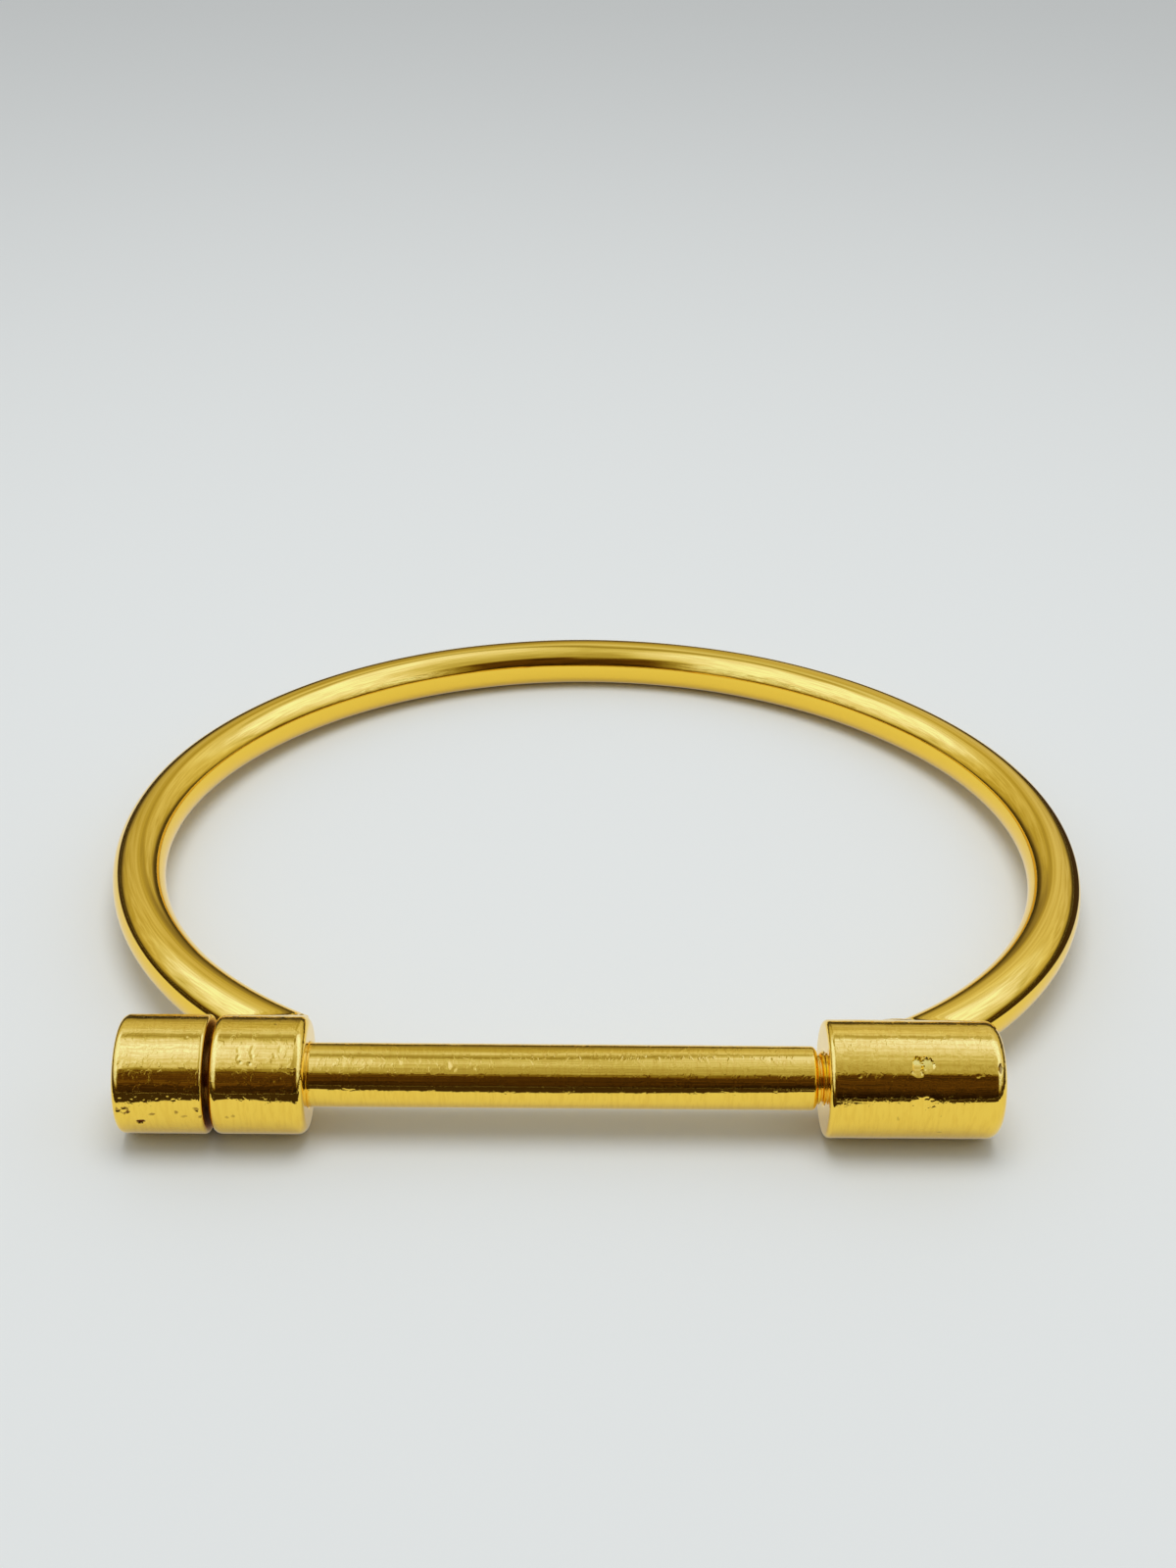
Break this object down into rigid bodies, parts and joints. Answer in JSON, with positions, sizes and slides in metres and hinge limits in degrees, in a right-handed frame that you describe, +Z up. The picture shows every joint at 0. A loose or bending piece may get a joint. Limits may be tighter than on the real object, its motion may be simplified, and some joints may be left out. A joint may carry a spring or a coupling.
{
  "type": "screw bar bangle",
  "caption": "D-shaped gold bangle: a hoop of round wire with a barrel soldered to each end, closed across the front by a straight bar that screws in.",
  "frame": {"origin": "on the floor under the middle of the bangle's outline, with the bangle lying on its side", "axes": "+X along the bar from the knob to the closed barrel, +Y from the bar to the back of the hoop, +Z up"},
  "size_m": [0.0662, 0.0618, 0.0068],
  "materials": {
    "gold": "polished yellow gold, finely scratched by wear"
  },
  "bodies": {
    "hoop_body": {"hoop": "gold"},
    "bar_body": {"screw_bar": "gold"}
  },
  "joints": [
    {"name": "bar_slide", "type": "slide", "parent": "hoop_body", "child": "bar_body", "axis": [-1, 0, 0], "range_m": [-0.00025, 0.041]}
  ]
}
